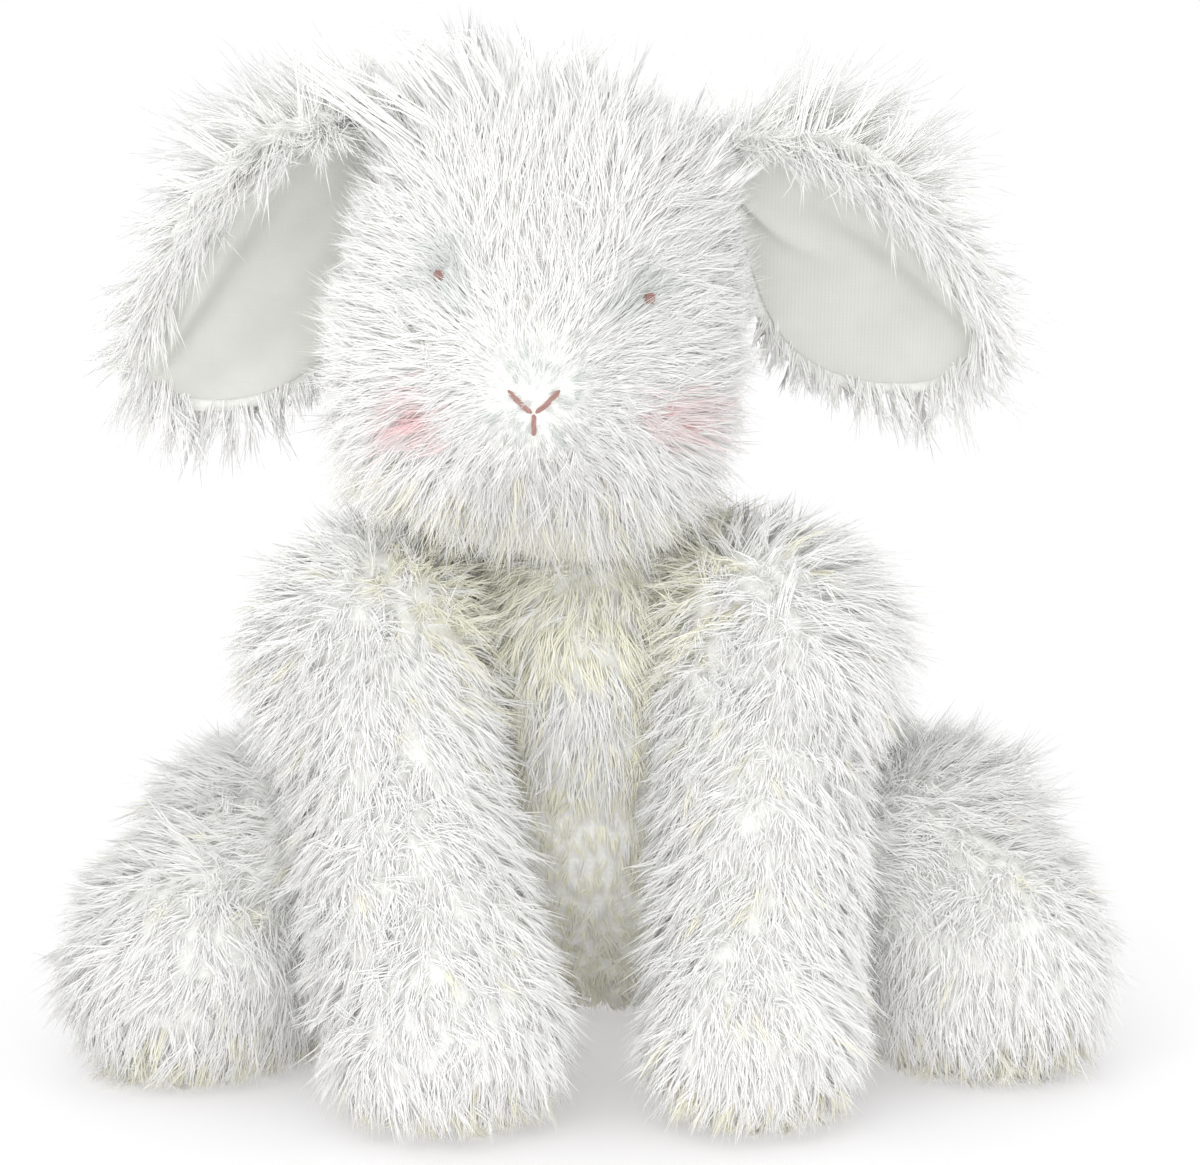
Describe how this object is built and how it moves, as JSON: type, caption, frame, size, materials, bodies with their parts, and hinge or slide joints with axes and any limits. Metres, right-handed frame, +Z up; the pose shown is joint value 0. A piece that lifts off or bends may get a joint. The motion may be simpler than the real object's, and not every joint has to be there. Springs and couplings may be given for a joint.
{
  "type": "stuffed bunny rabbit",
  "caption": "Seated plush rabbit with long pile, lop ears lined in satin, stitched eyes and nose, pompom tail and weighted paws; head, ears, arms and legs move.",
  "frame": {"origin": "on the floor, under the middle of the bounding box of the seated rabbit", "axes": "+Z up, the face looks along -Y, +X towards the rabbit's own left arm"},
  "size_m": [0.27, 0.228, 0.2575],
  "materials": {
    "plush_white": "long soft pile, light sheen",
    "ear_satin": "smooth satin",
    "fibre_fill": "loose polyester fibre",
    "bag_cloth": "plain woven",
    "pellet_plastic": "matt",
    "embroidery_brown": "stranded embroidery thread",
    "white_thread": "twisted thread",
    "label_tape": "plain woven tape"
  },
  "bodies": {
    "torso": {"torso_skin": "plush_white", "torso_stuffing": "fibre_fill", "torso_pellet_bag": "bag_cloth", "torso_pellets": "pellet_plastic", "tail_skin": "plush_white", "tail_stuffing": "fibre_fill", "tail_stitch": "white_thread", "back_closing_stitch": "white_thread", "care_label": "label_tape"},
    "neck": {"neck_stuffing": "fibre_fill"},
    "head": {"head_skin": "plush_white", "head_stuffing": "fibre_fill", "crown_seam_stitch": "white_thread", "eye_left": "embroidery_brown", "eye_right": "embroidery_brown", "nose_stitch_left": "embroidery_brown", "nose_stitch_right": "embroidery_brown", "mouth_stitch": "embroidery_brown"},
    "ear_left": {"ear_left_back": "plush_white", "ear_left_lining": "ear_satin", "ear_left_root_stitch": "white_thread"},
    "ear_right": {"ear_right_back": "plush_white", "ear_right_lining": "ear_satin", "ear_right_root_stitch": "white_thread"},
    "arm_left": {"arm_left_skin": "plush_white", "arm_left_stuffing": "fibre_fill", "arm_left_pellet_bag": "bag_cloth", "arm_left_pellets": "pellet_plastic"},
    "arm_right": {"arm_right_skin": "plush_white", "arm_right_stuffing": "fibre_fill", "arm_right_pellet_bag": "bag_cloth", "arm_right_pellets": "pellet_plastic"},
    "leg_left": {"leg_left_skin": "plush_white", "leg_left_stuffing": "fibre_fill", "leg_left_pellet_bag": "bag_cloth", "leg_left_pellets": "pellet_plastic"},
    "leg_right": {"leg_right_skin": "plush_white", "leg_right_stuffing": "fibre_fill", "leg_right_pellet_bag": "bag_cloth", "leg_right_pellets": "pellet_plastic"}
  },
  "joints": [
    {"name": "neck_nod", "type": "hinge", "parent": "torso", "child": "neck", "pos_m": [-0.004, -0.013, 0.151], "axis": [1, 0, 0], "range_deg": [-20, 20], "stiffness_Nm_per_rad": 0.4},
    {"name": "head_turn", "type": "hinge", "parent": "neck", "child": "head", "pos_m": [-0.004, -0.013, 0.151], "axis": [0, 0, 1], "range_deg": [-35, 35], "stiffness_Nm_per_rad": 0.15},
    {"name": "ear_left_lift", "type": "hinge", "parent": "head", "child": "ear_left", "pos_m": [0.02772, -0.017, 0.24108], "axis": [0, -1, 0], "range_deg": [0, 75]},
    {"name": "ear_right_lift", "type": "hinge", "parent": "head", "child": "ear_right", "pos_m": [-0.0419, -0.017, 0.2484], "axis": [0, 1, 0], "range_deg": [0, 75]},
    {"name": "arm_left_raise", "type": "hinge", "parent": "torso", "child": "arm_left", "pos_m": [0.046, -0.029, 0.109], "axis": [-1, 0, 0], "range_deg": [0, 70]},
    {"name": "arm_right_raise", "type": "hinge", "parent": "torso", "child": "arm_right", "pos_m": [-0.055, -0.029, 0.109], "axis": [-1, 0, 0], "range_deg": [0, 70]},
    {"name": "leg_left_raise", "type": "hinge", "parent": "torso", "child": "leg_left", "pos_m": [0.073, 0.004, 0.036], "axis": [-0.7954, -0.606, 0], "range_deg": [0, 18]},
    {"name": "leg_right_raise", "type": "hinge", "parent": "torso", "child": "leg_right", "pos_m": [-0.069, 0.004, 0.036], "axis": [-0.774, 0.6332, 0], "range_deg": [0, 18]}
  ]
}
